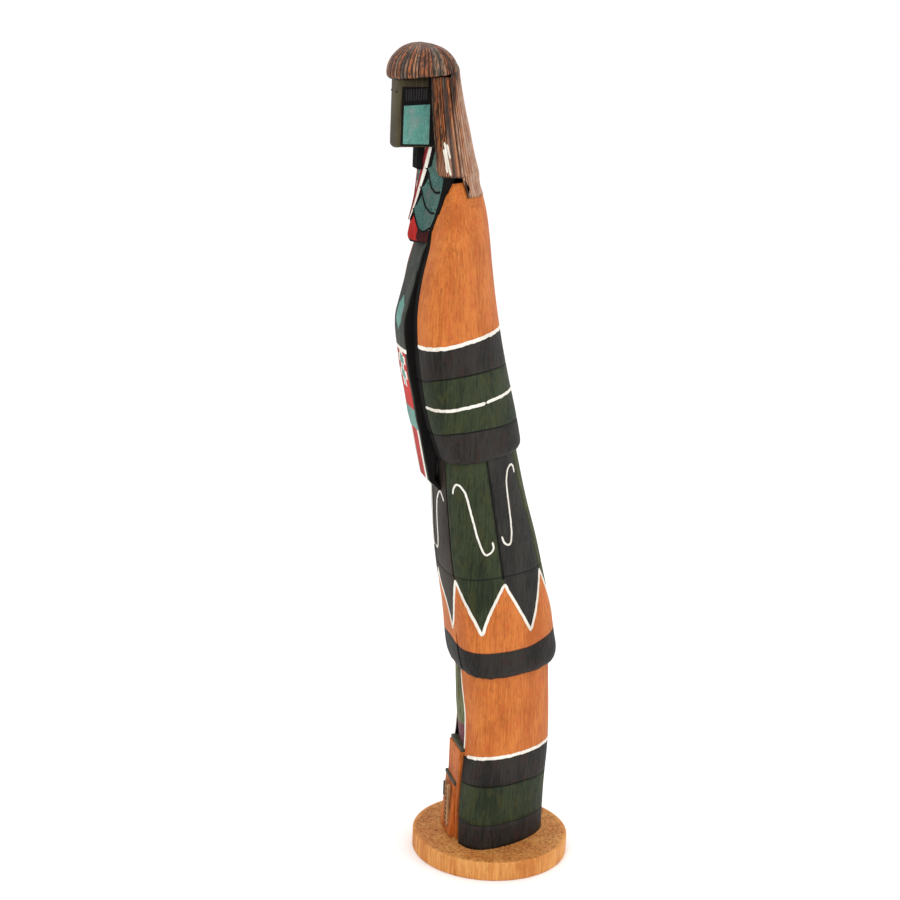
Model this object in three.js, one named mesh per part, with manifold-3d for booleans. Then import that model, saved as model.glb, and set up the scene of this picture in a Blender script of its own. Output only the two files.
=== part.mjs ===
// Kachina doll carved from one cottonwood root, glued upright on a round wooden base.
// A masked, long-haired figure leans forward in a cape, a shawl and a robe that is open in front,
// where two small pueblo houses stand between its edges.
// Millimetres, +Z up. The origin is the centre of the base's underside, and the figure faces -Y.
import * as THREE from 'three';
import Module from 'manifold-3d';
import { mergeVertices } from 'three/addons/utils/BufferGeometryUtils.js';

const wasm = await Module();
wasm.setup();

// Base: a turned disc with a slightly eased upper edge.
const BASE_RADIUS = 41;
const BASE_HEIGHT = 10;
const BASE_EASE = 0.8;

// A garment is a stack of rings, each cut by a plane that may rise towards the back.
// A ring is [height where it crosses the vertical axis, rise per mm, front y, back y, half width],
// and may end with a squareness of its own for its front.
const ROBE_RINGS = [
  [BASE_HEIGHT, 0, -22.5, 28.4, 24.3, 2.6],
  [34, 0, -21.6, 28.5, 24.6, 2.5],
  [58, 0, -19.7, 29.5, 24.8, 2.2],
  [78, 0, -19.2, 29.0, 24.6, 2.0],
  [98, 0, -21.1, 27.8, 24.2, 2.0],
  [114, 0, -22.0, 27.0, 23.6, 2.0],
];
const SHAWL_RINGS = [
  [105.4, 0, -22.0, 28.8, 25.0],
  [107.2, 0, -24.0, 30.6, 26.6],
  [112, 0, -25.6, 31.3, 27.2],
  [120, 0, -26.8, 29.8, 27.2],
  [134, 0, -28.4, 27.1, 27.0],
  [152, 0, -31.9, 22.5, 27.0],
  [173, 0, -34.9, 17.1, 26.8],
  [196, 0, -36.6, 10.2, 26.4],
  [226, 0, -38.0, 2.6, 25.6],
];
const CAPE_RINGS = [
  [221.0, 0.05, -39.4, 4.6, 27.4],
  [223.2, 0.05, -41.0, 6.0, 29.0],
  [228, 0.06, -42.6, 5.4, 29.6],
  [242, 0.09, -46.8, 2.2, 30.2],
  [257, 0.12, -50.0, -1.6, 30.8],
  [277, 0.12, -53.3, -6.2, 31.2],
  [298, 0.12, -54.4, -10.2, 31.2],
  [316, 0.12, -52.0, -13.0, 30.4],
  [330, 0.12, -48.4, -14.9, 28.4],
  [342, 0.12, -46.2, -16.9, 24.6],
  [352, 0.12, -43.4, -19.6, 19.6],
  [360, 0.12, -41.0, -22.6, 14.4],
];
const HAIR_RINGS = [
  [351, 0.2, -30.0, -19.0, 11.0],
  [358, 0, -43.0, -21.8, 15.8],
  [368, 0, -43.6, -24.8, 16.8],
  [380, 0, -44.6, -27.9, 17.4],
  [392, 0, -46.0, -31.1, 17.8],
  [404, 0, -47.0, -34.0, 17.8],
];
const CROWN_RINGS = [
  [402.6, 0, -67.8, -33.4, 17.6],
  [406, 0, -68.4, -34.4, 18.6],
  [410, 0, -67.6, -35.8, 18.0],
  [414, 0, -65.2, -38.8, 16.0],
  [417.6, 0, -61.2, -43.4, 12.2],
  [420, 0, -56.4, -48.0, 6.4],
];
const COLLAR_RINGS = [
  [323, 0, -52.4, -40, 7.5],
  [326, 0, -55.8, -40, 9.5],
  [333, 0, -55.2, -40, 12.5],
  [341, 0, -52.8, -38, 15.0],
  [350, 0, -50.0, -36, 16.0],
  [358, 0, -47.2, -34, 14.5],
];

// How a ring bulges in front and behind, where 2 is an ellipse, more is squarer and less is more
// pointed, and where it is widest, as a share of its depth from the front.
const RING_POINTS = 48;
const ROBE_SHAPE = { front: 2.6, back: 1.6, widest: 0.26 };
const CAPE_SHAPE = { front: 2.8, back: 1.6, widest: 0.26 };
const HAIR_SHAPE = { front: 5, back: 2.2, widest: 0.4 };
const CROWN_SHAPE = { front: 2.3, back: 2.1, widest: 0.5 };
const COLLAR_SHAPE = { front: 2.3, back: 2.3, widest: 0.6 };

// Square-cut pieces of the carving, each with its half width and its outline seen from the side.
const SASH_HALF = 9.5;
const SASH_OUTLINE = [
  [-46, 322.5], [-51, 316.5], [-54.6, 304.5], [-57.3, 292.5], [-58.4, 282.5], [-57.7, 276.5],
  [-54.5, 256], [-48.5, 231], [-45.3, 214], [-43.1, 209], [-38.7, 204], [-30, 206], [-30, 322.5],
];
const MASK_HALF = 11;
const MASK_OUTLINE = [[-63, 372], [-63.4, 404], [-38, 404], [-38, 372]];
const BEARD_HALF = 5;
const BEARD_OUTLINE = [[-53, 372.5], [-53.2, 361.5], [-51, 359.8], [-40, 357], [-40, 372.5]];

// The opening of the robe narrows from the foot to the hem of the shawl. The dress that shows in
// it is recessed behind the houses and stands a little proud above them.
const OPENING_FOOT = { half: 14, z: BASE_HEIGHT };
const OPENING_TOP = { half: 4.6, z: 108 };
const OPENING_BACK = -12;
const DRESS_OUTLINE = [
  [OPENING_BACK, BASE_HEIGHT], [-17, BASE_HEIGHT], [-17.4, 58], [-19.8, 74], [-21.2, 86], [-22.2, 100],
  [-22.6, 108], [OPENING_BACK, 108],
];

// The two houses: [left x, right x, front y at foot, front y at roof, roof height].
const HOUSES = [
  [-10, 10, -21.5, -20.2, 61.5],
  [-12, 6.5, -24.2, -22, 41],
];
const HOUSE_BACK = -8;

const signedPower = (value, power) => Math.sign(value) * Math.abs(value) ** power;

function ringPoints([height, rise, front, back, half, squareness], shape) {
  const middle = front + (back - front) * shape.widest;
  return Array.from({ length: RING_POINTS }, (_, i) => {
    const angle = (2 * Math.PI * i) / RING_POINTS;
    const forward = Math.cos(angle) > 0;
    const power = 2 / (forward ? squareness ?? shape.front : shape.back);
    const depth = forward ? middle - front : back - middle;
    const y = middle - depth * signedPower(Math.cos(angle), power);
    return new THREE.Vector3(half * signedPower(Math.sin(angle), power), y, height + rise * y);
  });
}

// Joins a stack of rings into one closed body, with a flat fan over each end.
function loft(rings, shape) {
  const stack = rings.map((ring) => ringPoints(ring, shape));
  const corners = [];
  const centre = (points) => points.reduce((sum, p) => sum.add(p), new THREE.Vector3())
    .divideScalar(points.length);
  const bottom = centre(stack[0]);
  const top = centre(stack.at(-1));
  for (let i = 0; i < RING_POINTS; i++) {
    const j = (i + 1) % RING_POINTS;
    corners.push(bottom, stack[0][j], stack[0][i], top, stack.at(-1)[i], stack.at(-1)[j]);
    for (let k = 0; k + 1 < stack.length; k++) {
      const [low, high] = [stack[k], stack[k + 1]];
      corners.push(low[i], low[j], high[j], low[i], high[j], high[i]);
    }
  }
  return new THREE.BufferGeometry().setFromPoints(corners);
}

// A slab across the figure: an outline in the side view, [y, z], given a width along x.
function slab(outline, left, right) {
  const shape = new THREE.Shape(outline.map(([y, z]) => new THREE.Vector2(y, z)));
  const geometry = new THREE.ExtrudeGeometry(shape, { depth: right - left, bevelEnabled: false });
  const basis = new THREE.Matrix4().makeBasis(
    new THREE.Vector3(0, 1, 0), new THREE.Vector3(0, 0, 1), new THREE.Vector3(1, 0, 0));
  return geometry.applyMatrix4(basis).translate(left, 0, 0);
}

// The space between the edges of the robe: an upright wedge, from the front to its back plane.
function openingSolid() {
  const wedge = new THREE.Shape([
    new THREE.Vector2(-OPENING_FOOT.half, OPENING_FOOT.z),
    new THREE.Vector2(OPENING_FOOT.half, OPENING_FOOT.z),
    new THREE.Vector2(OPENING_TOP.half, OPENING_TOP.z),
    new THREE.Vector2(-OPENING_TOP.half, OPENING_TOP.z),
  ]);
  const depth = BASE_RADIUS + OPENING_BACK;
  return toSolid(new THREE.ExtrudeGeometry(wedge, { depth, bevelEnabled: false })
    .rotateX(Math.PI / 2)
    .translate(0, OPENING_BACK, 0));
}

function toSolid(geometry) {
  const bare = geometry.clone();
  bare.deleteAttribute('normal');
  bare.deleteAttribute('uv');
  const merged = mergeVertices(bare, 1e-4);
  return new wasm.Manifold(new wasm.Mesh({
    numProp: 3,
    vertProperties: new Float32Array(merged.attributes.position.array),
    triVerts: new Uint32Array(merged.index.array),
  }));
}

function toGeometry(solid) {
  const mesh = solid.getMesh();
  const geometry = new THREE.BufferGeometry();
  geometry.setAttribute('position', new THREE.BufferAttribute(mesh.vertProperties, 3));
  geometry.setIndex(new THREE.BufferAttribute(mesh.triVerts, 1));
  geometry.computeVertexNormals();
  return geometry;
}

function baseGeometry() {
  const profile = [
    [0, 0], [BASE_RADIUS - BASE_EASE / 2, 0], [BASE_RADIUS, BASE_EASE / 2],
    [BASE_RADIUS, BASE_HEIGHT - BASE_EASE], [BASE_RADIUS - BASE_EASE, BASE_HEIGHT],
    [0, BASE_HEIGHT],
  ].map(([r, z]) => new THREE.Vector2(r, z));
  return new THREE.LatheGeometry(profile, 96).rotateX(Math.PI / 2);
}

function figureSolid() {
  const opening = openingSolid();
  const dress = opening.intersect(toSolid(slab(DRESS_OUTLINE, -BASE_RADIUS, BASE_RADIUS)));
  const robe = toSolid(loft(ROBE_RINGS, ROBE_SHAPE)).subtract(opening);
  const houses = HOUSES.map(([left, right, foot, front, roof]) => slab(
    [[foot, BASE_HEIGHT], [front, roof], [HOUSE_BACK, roof], [HOUSE_BACK, BASE_HEIGHT]],
    left, right));
  const carvings = [
    ...houses,
    loft(SHAWL_RINGS, ROBE_SHAPE),
    loft(CAPE_RINGS, CAPE_SHAPE),
    slab(SASH_OUTLINE, -SASH_HALF, SASH_HALF),
    loft(COLLAR_RINGS, COLLAR_SHAPE),
    slab(BEARD_OUTLINE, -BEARD_HALF, BEARD_HALF),
    slab(MASK_OUTLINE, -MASK_HALF, MASK_HALF),
    loft(HAIR_RINGS, HAIR_SHAPE),
    loft(CROWN_RINGS, CROWN_SHAPE),
  ].map(toSolid);
  return [dress, ...carvings].reduce((whole, part) => whole.add(part), robe);
}

function namedMesh(name, geometry, color) {
  const material = new THREE.MeshStandardMaterial({ color, roughness: 0.7, metalness: 0 });
  const mesh = new THREE.Mesh(geometry, material);
  mesh.name = name;
  return mesh;
}

const doll = new THREE.Group();
doll.add(namedMesh('base_disc', baseGeometry(), 0xd99a58));
doll.add(namedMesh('figure', toGeometry(figureSolid()), 0xc27a3a));

export default doll;
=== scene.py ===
import bmesh
import bpy
from bisect import bisect_right
from math import asin, copysign, cos, degrees, exp, pi, radians, sin
from mathutils import Matrix, Vector, noise
from random import Random


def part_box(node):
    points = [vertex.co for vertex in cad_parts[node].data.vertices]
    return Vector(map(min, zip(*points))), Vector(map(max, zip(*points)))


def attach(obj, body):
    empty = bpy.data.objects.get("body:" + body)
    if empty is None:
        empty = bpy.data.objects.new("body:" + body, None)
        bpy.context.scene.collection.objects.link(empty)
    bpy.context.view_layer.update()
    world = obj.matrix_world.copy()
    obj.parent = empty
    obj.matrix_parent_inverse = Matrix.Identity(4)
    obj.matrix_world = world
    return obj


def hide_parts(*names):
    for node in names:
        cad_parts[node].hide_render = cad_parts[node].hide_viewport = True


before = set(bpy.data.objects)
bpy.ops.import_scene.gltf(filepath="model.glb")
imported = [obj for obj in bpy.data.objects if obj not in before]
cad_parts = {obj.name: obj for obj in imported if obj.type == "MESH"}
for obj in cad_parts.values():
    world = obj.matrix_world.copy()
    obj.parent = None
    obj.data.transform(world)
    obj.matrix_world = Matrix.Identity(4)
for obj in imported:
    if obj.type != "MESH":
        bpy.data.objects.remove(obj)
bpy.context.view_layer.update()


# ---------------------------------------------------------------- base disc
# A round plinth sawn from a pale board and sanded. Its top is punched all over with small
# pits inside a narrow plain rim, and the figure is glued and pinned to the middle. The punched
# top is drawn a little darker, and each pit darker again by its depth as painted shade.
MM = 0.001
BASE_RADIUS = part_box("base_disc")[1].x / MM
BASE_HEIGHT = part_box("base_disc")[1].z / MM
BASE_EASE = 0.8
PUNCHED_RADIUS = 38.6
PUNCH_SPACING = 1.35
PUNCH_DEPTH = 0.5
PIT_HALF = 0.42
WOOD_ROUGHNESS = 0.6


def colour(red, green, blue):
    """A shader colour from the three 0 to 255 values of a paint chip."""
    def linear(value):
        share = value / 255
        return share / 12.92 if share < 0.04045 else ((share + 0.055) / 1.055) ** 2.4
    return (linear(red), linear(green), linear(blue), 1)


def wire(tree, kind, values=None, **settings):
    """Adds a shader node; an input's value may be another node's output."""
    made = tree.nodes.new(kind)
    for name, value in settings.items():
        setattr(made, name, value)
    for name, value in (values or {}).items():
        if isinstance(value, bpy.types.NodeSocket):
            tree.links.new(value, made.inputs[name])
        else:
            made.inputs[name].default_value = value
    return made


def noise_cloud(tree, size, stretch=1.0, detail=4, offset=0.0):
    """Noise with features of this size in millimetres, drawn out along the grain by stretch."""
    place = tree.nodes["place"].outputs["Object"]
    drawn = wire(tree, "ShaderNodeMapping", {
        "Vector": place, "Scale": (1, 1, 1 / stretch), "Location": (offset, offset, offset)})
    cloud = wire(tree, "ShaderNodeTexNoise", {
        "Vector": drawn.outputs[0], "Scale": 1 / (size * MM), "Detail": detail, "Roughness": 0.6})
    return cloud.outputs["Fac"]


def spread(tree, value, low, high, top=1.0):
    """0 below low and top above high."""
    return wire(tree, "ShaderNodeMapRange", {
        "Value": value, "From Min": low, "From Max": high, "To Max": top},
        interpolation_type="SMOOTHSTEP").outputs[0]


def blend(tree, share, first, second):
    """first where share is 0 and second where it is 1."""
    return wire(tree, "ShaderNodeMix", {0: share, 6: first, 7: second}, data_type="RGBA").outputs[2]


def start_finish(name):
    """An empty material: its tree, with the object coordinates ready under the name place."""
    material = bpy.data.materials.new(name)
    material.use_nodes = True
    tree = material.node_tree
    tree.nodes.new("ShaderNodeTexCoord").name = "place"
    return material, tree


def end_finish(tree, paint, height, roughness, relief, gloss=0.15):
    """Joins the colour and the relief of a finish to its shader."""
    shader = tree.nodes["Principled BSDF"]
    bump = wire(tree, "ShaderNodeBump", {"Height": height, "Strength": relief, "Distance": 0.3 * MM})
    tree.links.new(paint, shader.inputs["Base Color"])
    tree.links.new(bump.outputs[0], shader.inputs["Normal"])
    shader.inputs["Roughness"].default_value = roughness
    shader.inputs["Specular IOR Level"].default_value = gloss


def wood_finish(name, light, dark, cut, patch=None, patch_share=0.4, grain=0.9, stretch=16,
                pores=0.6, relief=0.5, gloss=0.15, flecks=0.0):
    """Stained or painted wood: long grain, dark pore ticks, worn patches, and painted shade that
    darkens the cuts. Its colours are given as 0 to 255 values."""
    material, tree = start_finish(name)
    streaks = noise_cloud(tree, grain, stretch, 6)
    broad = noise_cloud(tree, 14, 2.5, 3, 0.3)
    tone = wire(tree, "ShaderNodeMath", {0: streaks, 1: broad}, operation="ADD").outputs[0]
    paint = blend(tree, spread(tree, tone, 0.8, 1.22), colour(*dark), colour(*light))
    cut = colour(*cut)
    if patch:
        worn = spread(tree, noise_cloud(tree, 5, 1.8, 5, 0.7), 0.5, 0.66, patch_share)
        paint = blend(tree, worn, paint, colour(*patch))
    if flecks:
        blots = spread(tree, noise_cloud(tree, 1.9, 1.8, 4, 0.9), 0.56, 0.68, flecks)
        paint = blend(tree, blots, paint, cut)
    ticks = spread(tree, noise_cloud(tree, 0.42, 9, 2, 0.5), 0.58, 0.7, pores)
    paint = blend(tree, ticks, paint, cut)
    # Painted shade: the attribute read here darkens the paint towards the cut colour in the cuts.
    carved = wire(tree, "ShaderNodeAttribute", attribute_name="cut_shade").outputs["Fac"]
    paint = blend(tree, carved, paint, cut)
    height = wire(tree, "ShaderNodeMath", {0: streaks, 1: ticks}, operation="SUBTRACT").outputs[0]
    end_finish(tree, paint, height, WOOD_ROUGHNESS, relief, gloss)
    return material


def tube(bm, around, along, place, paint=None, cut_shade=None, tone=None):
    """A tube of around x along quads. place and paint give a corner's point and a quad's material,
    the third function how much painted shade darkens a corner in its cut, and tone the colour tone of its
    strand."""
    cut = bm.verts.layers.float.get("cut_shade") or bm.verts.layers.float.new("cut_shade")
    shade = bm.verts.layers.float.get("tone") or bm.verts.layers.float.new("tone")
    made = bmesh.ops.create_grid(bm, x_segments=around, y_segments=along, size=0.5)["verts"]
    for face in {face for vertex in made for face in vertex.link_faces}:
        middle = face.calc_center_median()
        face.smooth = True
        if paint:
            face.material_index = paint(int((middle.x + 0.5) * around), int((middle.y + 0.5) * along))
    for vertex in made:
        column = round((vertex.co.x + 0.5) * around)
        row = round((vertex.co.y + 0.5) * along)
        vertex.co = place(column % around, row)
        if cut_shade:
            vertex[cut] = cut_shade(column % around, row)
        if tone:
            vertex[shade] = tone(column % around, row)
    bmesh.ops.remove_doubles(bm, verts=made, dist=0.0001)


def set_piece(bm, name, materials):
    """Closes the ends, turns the faces outwards and stands the piece in its place in metres."""
    bmesh.ops.holes_fill(bm, edges=[edge for edge in bm.edges if edge.is_boundary])
    bmesh.ops.recalc_face_normals(bm, faces=bm.faces)
    bmesh.ops.scale(bm, vec=(MM, MM, MM), verts=bm.verts)
    mesh = bpy.data.meshes.new(name)
    bm.to_mesh(mesh)
    bm.free()
    for material in materials:
        mesh.materials.append(material)
    made = bpy.data.objects.new(name, mesh)
    bpy.context.collection.objects.link(made)
    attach(made, "root")
    return made


DISC_ROWS = [(BASE_RADIUS - 3, 0), (BASE_RADIUS - BASE_EASE, 0)]
for step in range(7):
    turn = radians(15 * step)
    DISC_ROWS.append((BASE_RADIUS - BASE_EASE * (1 - sin(turn)), BASE_EASE * (1 - cos(turn))))
for step in range(1, 4):
    DISC_ROWS.append((BASE_RADIUS, BASE_EASE + step * (BASE_HEIGHT - 2 * BASE_EASE) / 4))
for step in range(7):
    turn = radians(15 * step)
    DISC_ROWS.append(
        (BASE_RADIUS - BASE_EASE * (1 - cos(turn)), BASE_HEIGHT - BASE_EASE * (1 - sin(turn))))
FIRST_PUNCHED = len(DISC_ROWS)
PUNCHED_ROWS = 68
RING_STEP = 0.53
for step in range(PUNCHED_ROWS):
    DISC_ROWS.append((PUNCHED_RADIUS - step * RING_STEP, BASE_HEIGHT))
DISC_COLUMNS = 420


def punched(x, y):
    """How deep the punch went at this spot, 0 to 1."""
    near = noise.voronoi(Vector((x, y * 0.8, 3.0)) / PUNCH_SPACING)[0][0]
    share = max(0.0, 1 - (near / PIT_HALF) ** 2)
    return share * (0.55 + 0.45 * noise.noise(Vector((x, y, 0)) / 2.5))


def disc_spot(column, row):
    radius, height = DISC_ROWS[row]
    turn = 2 * pi * column / DISC_COLUMNS
    return radius * cos(turn), radius * sin(turn), height


def disc_point(column, row):
    x, y, height = disc_spot(column, row)
    if row >= FIRST_PUNCHED:
        height -= PUNCH_DEPTH * punched(x, y)
    return x, y, height


# How dark a spot of the top is drawn: the punched area a little darker all over, and each pit darker again
# by its depth, as painted shade in the pit.
def disc_pit_shade(column, row):
    x, y, height = disc_spot(column, row)
    return min(1.0, 0.16 + 1.3 * punched(x, y)) if row >= FIRST_PUNCHED else 0.0


disc = bmesh.new()
tube(disc, DISC_COLUMNS, len(DISC_ROWS) - 1, disc_point, None, disc_pit_shade)
pale_board = wood_finish("pale_board", (212, 150, 84), (184, 112, 52), (70, 32, 8),
                         grain=1.1, stretch=14, pores=0.35)
base_disc = set_piece(disc, "punched_disc", [pale_board])
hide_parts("base_disc")


# ---------------------------------------------------------------- carved body
# Robe, shawl and cape are one block of cottonwood, carved as three sleeves that step out over
# each other. The hems, bands and seams are cut in and painted, and the rest is stained. Painted
# shade darkens the cuts by their depth.
# A row of a sleeve holds its height, rise, front, back, half width, squareness of the front.
ROBE = [
    (10, 0, -22.5, 28.4, 24.3, 2.6), (34, 0, -21.6, 28.5, 24.6, 2.5), (58, 0, -19.7, 29.5, 24.8, 2.2),
    (78, 0, -19.2, 29.0, 24.6, 2.0), (98, 0, -21.1, 27.8, 24.2, 2.0), (114, 0, -22.0, 27.0, 23.6, 2.0)]
SHAWL = [
    (105.4, 0, -22.0, 28.8, 25.0, 2.6), (107.2, 0, -24.0, 30.6, 26.6, 2.6), (112, 0, -25.6, 31.3, 27.2, 2.6),
    (120, 0, -26.8, 29.8, 27.2, 2.6), (134, 0, -28.4, 27.1, 27.0, 2.6), (152, 0, -31.9, 22.5, 27.0, 2.6),
    (173, 0, -34.9, 17.1, 26.8, 2.6), (196, 0, -36.6, 10.2, 26.4, 2.6), (226, 0, -38.0, 2.6, 25.6, 2.6)]
CAPE = [
    (221, .05, -39.4, 4.6, 27.4, 2.8), (223.2, .05, -41.0, 6.0, 29.0, 2.8),
    (228, .06, -42.6, 5.4, 29.6, 2.8), (242, .09, -46.8, 2.2, 30.2, 2.8),
    (257, .12, -50.0, -1.6, 30.8, 2.8), (277, .12, -53.3, -6.2, 31.2, 2.8),
    (298, .12, -54.4, -10.2, 31.2, 2.8), (316, .12, -52.0, -13.0, 30.4, 2.8),
    (330, .12, -48.4, -14.9, 28.4, 2.8), (342, .12, -46.2, -16.9, 24.6, 2.8),
    (352, .12, -43.4, -19.6, 19.6, 2.8), (360, .12, -41.0, -22.6, 14.4, 2.8)]
BACK_SQUARENESS = 1.6
WIDEST = 0.26


def measures(table, height):
    """A sleeve's measures at a height, eased through the rows of its table."""
    last = len(table) - 1
    low = min(max(bisect_right([row[0] for row in table], height) - 1, 0), last - 1)
    below, above = table[low], table[low + 1]
    before, after = table[max(low - 1, 0)], table[min(low + 2, last)]
    span = above[0] - below[0]
    share = min(max((height - below[0]) / span, 0), 1)
    result = []
    for index in range(1, len(below)):
        leave = (above[index] - before[index]) / (above[0] - before[0])
        arrive = (after[index] - below[index]) / (after[0] - below[0])
        result.append(
            (2 * share ** 3 - 3 * share ** 2 + 1) * below[index]
            + (share ** 3 - 2 * share ** 2 + share) * span * leave
            + (3 * share ** 2 - 2 * share ** 3) * above[index]
            + (share ** 3 - share ** 2) * span * arrive)
    return result


def sleeve_point(table, angle, height, back=BACK_SQUARENESS, widest=WIDEST):
    """The skin at an angle in degrees, 0 at the front and 90 on the figure's left, and a height."""
    rise, front, rear, half, square = measures(table, height)
    middle = front + (rear - front) * widest
    sine, cosine = sin(radians(angle)), cos(radians(angle))
    power = 2 / (square if cosine > 0 else back)
    reach = middle - front if cosine > 0 else rear - middle
    y = middle - reach * copysign(abs(cosine) ** power, cosine)
    return Vector((half * copysign(abs(sine) ** power, sine), y, height + rise * y))


# The robe opens at the front in a tall notch, narrowest at the top, cut back to a flat floor.
NOTCH_FOOT = 14
NOTCH_HEAD = 4.6
NOTCH_FLOOR = -12
NOTCH_TOP = 108


def notch_half(height):
    return NOTCH_FOOT + (NOTCH_HEAD - NOTCH_FOOT) * (height - BASE_HEIGHT) / (NOTCH_TOP - BASE_HEIGHT)


def notch_angle(height):
    rise, front, rear, half, square = measures(ROBE, height)
    return degrees(asin((notch_half(height) / half) ** (square / 2)))


def between(value, low, high):
    return min(max((value - low) / (high - low), 0), 1)


def along(place, *stops):
    """The straight run through (place, value) stops, such as the heights and angles of a seam."""
    for (low, first), (high, second) in zip(stops, stops[1:]):
        if place <= high:
            return first + (second - first) * between(place, low, high)
    return stops[-1][1]


def seam_angles(table, height):
    """Where the seven seams run at a height: the front middle, then round by the figure's left."""
    if table is ROBE:
        edge = notch_angle(height)
        return [0, edge, 112, 156, 204, 248, 360 - edge]
    if table is CAPE:
        edge = along(height, (221, 29), (236, 27.7), (252, 26.4), (284, 25), (330, 20), (345, 14), (356, 8))
        return [0, edge, 113, 154, 206, 247, 360 - edge - 14 * between(height, 288, 300)]
    near = along(height, (106, 29.5), (126, 21.5), (157, 40.5), (159, 38), (178, 37), (198, 33), (216, 27.8))
    far = along(height, (106, 29.5), (126, 21.5), (157, 52), (159, 50), (216, 38))
    rear = along(height, (157, 157), (184, 156), (205, 152.5))
    flank = along(height, (157, 113.7), (198, 114.4), (220, 112.5))
    return [-8, near, flank, rear, 360 - rear, 360 - flank, 360 - far]


def ripple(angle, size=14.0, seed=0.0):
    """A small wander of a hand-cut or hand-painted line, -1 to 1."""
    turn = radians(angle)
    return noise.noise(Vector((cos(turn) * 180 / size / 6, sin(turn) * 180 / size / 6, seed))) * 1.6


PEAKS = [(-8, 156), (40.5, 157.3), (113.7, 155.6), (157, 157.6), (203, 157.6), (246.3, 155.6), (308, 157.3),
         (352, 156)]
TIPS = [(13, 127.9), (80.8, 129.7), (130.5, 128.3), (180, 128.6), (229.5, 128.3), (279, 129.7), (331, 127.9)]
ZIGZAG = []
for peak, tip in zip(PEAKS, TIPS):
    ZIGZAG += [peak, tip]
ZIGZAG.append(PEAKS[-1])


def zigzag(angle):
    turn = (angle + 8) % 360 - 8
    for (first, start), (second, end) in zip(ZIGZAG, ZIGZAG[1:]):
        if turn <= second:
            return start + (end - start) * (turn - first) / (second - first)
    return ZIGZAG[-1][1]


# The painted and cut lines round the body, each a height that may change with the angle.
def foot_line(angle):
    return 23.3 + 0.7 * cos(radians(angle)) + 0.25 * ripple(angle, 9, 1)


def robe_groove(angle):
    return 43.6 + 1.6 * sin(radians(angle)) ** 2 + 0.2 * ripple(angle, 12, 2)


def robe_stripe(angle):
    return 61.5 - 4.4 * max(0, cos(radians(angle))) ** 2


def hem_line(angle):
    turn = abs((angle + 180) % 360 - 180)
    return 120 + 2.4 * exp(-(turn / 20) ** 2) + 4 * between(turn, 125, 175) + 0.3 * ripple(angle, 10, 4)


def shawl_line(angle):
    return 159.3 + 0.15 * ripple(angle, 20, 5)


def cape_hem_line(angle):
    return 236 + 2.6 * sin(radians(angle)) ** 2 + 0.2 * ripple(angle, 12, 6)


def cape_groove(angle):
    return 265.4 + 2.9 * sin(radians(angle)) ** 2 + 0.2 * ripple(angle, 12, 7)


def cape_stripe(angle):
    return 283.8 - 0.7 * cos(radians(angle))


def level(height):
    return lambda angle: height


# Each band runs up to its line: sleeve, line, quads, and the cut along that line.
BANDS = [
    (ROBE, level(10), 0, 0), (ROBE, foot_line, 7, 0.35), (ROBE, robe_groove, 10, 0.7),
    (ROBE, robe_stripe, 8, 0), (ROBE, level(NOTCH_TOP), 22, 0), (SHAWL, level(105.4), 2, 0),
    (SHAWL, level(107.2), 3, 0), (SHAWL, hem_line, 7, 0.2), (SHAWL, zigzag, 10, 0),
    (SHAWL, shawl_line, 9, 0.35), (SHAWL, level(224), 26, 0), (CAPE, level(221), 2, 0),
    (CAPE, level(223.2), 3, 0), (CAPE, cape_hem_line, 8, 0.5), (CAPE, cape_groove, 15, 0.6),
    (CAPE, cape_stripe, 8, 0), (CAPE, level(359.5), 36, 0)]
GROOVE_HALF = 0.55
BODY_ROWS = []
for index, (table, line, quads, cut) in enumerate(BANDS):
    for step in range(1, quads + 1):
        BODY_ROWS.append((index, step / quads, 0, 0))
    if not quads:
        BODY_ROWS.append((index, 1, 0, 0))
    if cut:
        BODY_ROWS[-1] = (index, 1, -GROOVE_HALF, 0)
        BODY_ROWS.append((index, 1, -0.12, cut))
        BODY_ROWS.append((index, 1, 0.12, cut))
        BODY_ROWS.append((index, 1, GROOVE_HALF, 0))
PANEL_QUADS = [26, 36, 24, 26, 24, 34, 28]
SEAM_NEAR = [0.8, 1.9]


def column_share(panel, step, width):
    """How far across its panel a column lies: two columns hug the seam at each side."""
    quads = PANEL_QUADS[panel]
    if step in (1, 2):
        return SEAM_NEAR[step - 1] / width
    if step in (quads - 1, quads - 2):
        return 1 - SEAM_NEAR[quads - step - 1] / width
    inner = 2 * SEAM_NEAR[1] / width
    if step == 0:
        return 0
    return inner / 2 + (1 - inner) * (step - 2) / (quads - 4)


BODY_COLUMNS = [(panel, step) for panel, quads in enumerate(PANEL_QUADS) for step in range(quads)]


def column_angle(table, column, height):
    panel, step = BODY_COLUMNS[column]
    angles = seam_angles(table, height)
    angles.append(angles[0] + 360)
    start, end = angles[panel], angles[panel + 1]
    return start + (end - start) * column_share(panel, step, end - start)


NEAR_ANY_LINE = 130
ZIGZAG_SPAN = 126, 160


def line_height(band, column):
    """Where a column meets a band's line."""
    table, line = BANDS[band][:2]
    if line is not zigzag:
        return line(column_angle(table, column, line(column_angle(table, column, NEAR_ANY_LINE))))
    low, high = ZIGZAG_SPAN
    for halving in range(24):
        height = (low + high) / 2
        if line(column_angle(table, column, height)) > height:
            low = height
        else:
            high = height
    return height


LINE_HEIGHTS = [[line_height(band, column) for column in range(len(BODY_COLUMNS))]
                for band in range(len(BANDS))]


def row_height(column, row):
    band, share, offset, cut = BODY_ROWS[row]
    top = LINE_HEIGHTS[band][column]
    if band == 0 or share == 1 or BANDS[band][0] is not BANDS[band - 1][0]:
        return top + offset
    bottom = LINE_HEIGHTS[band - 1][column]
    if BANDS[band - 1][3]:
        bottom += GROOVE_HALF
    if BANDS[band][3]:
        top -= GROOVE_HALF
    return bottom + (top - bottom) * share


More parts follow.
